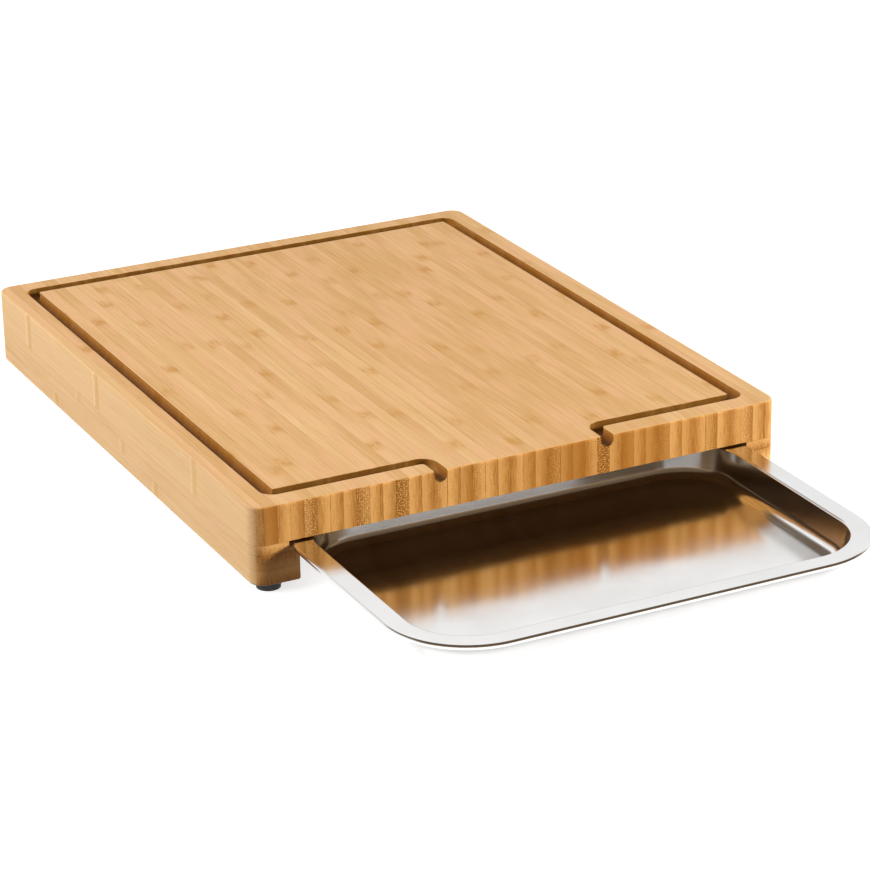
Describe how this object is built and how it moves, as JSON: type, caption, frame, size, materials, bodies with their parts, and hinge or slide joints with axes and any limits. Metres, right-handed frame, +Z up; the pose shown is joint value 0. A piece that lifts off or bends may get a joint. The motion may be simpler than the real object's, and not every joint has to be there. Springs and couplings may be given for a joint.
{
  "type": "cutting board with drawer trays",
  "caption": "Bamboo cutting board with a juice groove on two side rails, with steel trays that slide out from under it by their rims.",
  "frame": {"origin": "on the table, under the middle of the whole outline with the front tray drawn out 162 mm, as in the picture", "axes": "+X to the right seen from the front, +Y to the back (the front tray slides out along -Y), +Z up"},
  "size_m": [0.325, 0.562, 0.05],
  "materials": {
    "bamboo_light": "oiled satin",
    "bamboo": "oiled satin",
    "bamboo_dark": "oiled satin",
    "tray_steel": "satin",
    "foot_rubber": "matte",
    "screw_steel": "satin"
  },
  "bodies": {
    "board": {"panel_strip_01": "bamboo_light", "panel_strip_02": "bamboo_light", "panel_strip_03": "bamboo_dark", "panel_strip_04": "bamboo_light", "panel_strip_05": "bamboo_light", "panel_strip_06": "bamboo_light", "panel_strip_07": "bamboo_light", "panel_strip_08": "bamboo_dark", "panel_strip_09": "bamboo_light", "panel_strip_10": "bamboo_light", "panel_strip_11": "bamboo_light", "panel_strip_12": "bamboo_light", "panel_strip_13": "bamboo_dark", "panel_strip_14": "bamboo_light", "panel_strip_15": "bamboo_light", "panel_strip_16": "bamboo_light", "panel_strip_17": "bamboo_light", "panel_strip_18": "bamboo_dark", "panel_strip_19": "bamboo_light", "panel_strip_20": "bamboo_light", "panel_strip_21": "bamboo_light", "panel_strip_22": "bamboo_light", "panel_strip_23": "bamboo_dark", "panel_strip_24": "bamboo_light", "panel_strip_25": "bamboo_light", "panel_strip_26": "bamboo_light", "panel_strip_27": "bamboo_light", "panel_strip_28": "bamboo_dark", "panel_strip_29": "bamboo_light", "panel_strip_30": "bamboo_light", "panel_strip_31": "bamboo_light", "panel_strip_32": "bamboo_light", "panel_strip_33": "bamboo_dark", "panel_strip_34": "bamboo_light", "panel_strip_35": "bamboo_light", "panel_strip_36": "bamboo_light", "panel_strip_37": "bamboo_light", "panel_strip_38": "bamboo_dark", "panel_strip_39": "bamboo_light", "panel_strip_40": "bamboo_light", "panel_strip_41": "bamboo_light", "panel_strip_42": "bamboo_light", "rail_left_lower": "bamboo", "rail_left_middle": "bamboo", "rail_left_upper": "bamboo", "rail_right_lower": "bamboo", "rail_right_middle": "bamboo", "rail_right_upper": "bamboo", "foot_front_left": "foot_rubber", "foot_front_right": "foot_rubber", "foot_rear_left": "foot_rubber", "foot_rear_right": "foot_rubber", "foot_screws": "screw_steel"},
    "front_drawer": {"tray_front": "tray_steel"},
    "rear_drawer": {"tray_rear": "tray_steel"}
  },
  "joints": [
    {"name": "front_tray_slide", "type": "slide", "parent": "board", "child": "front_drawer", "axis": [0, -1, 0], "range_m": [-0.162, 0.02]},
    {"name": "rear_tray_slide", "type": "slide", "parent": "board", "child": "rear_drawer", "axis": [0, 1, 0], "range_m": [0, 0.182]}
  ]
}
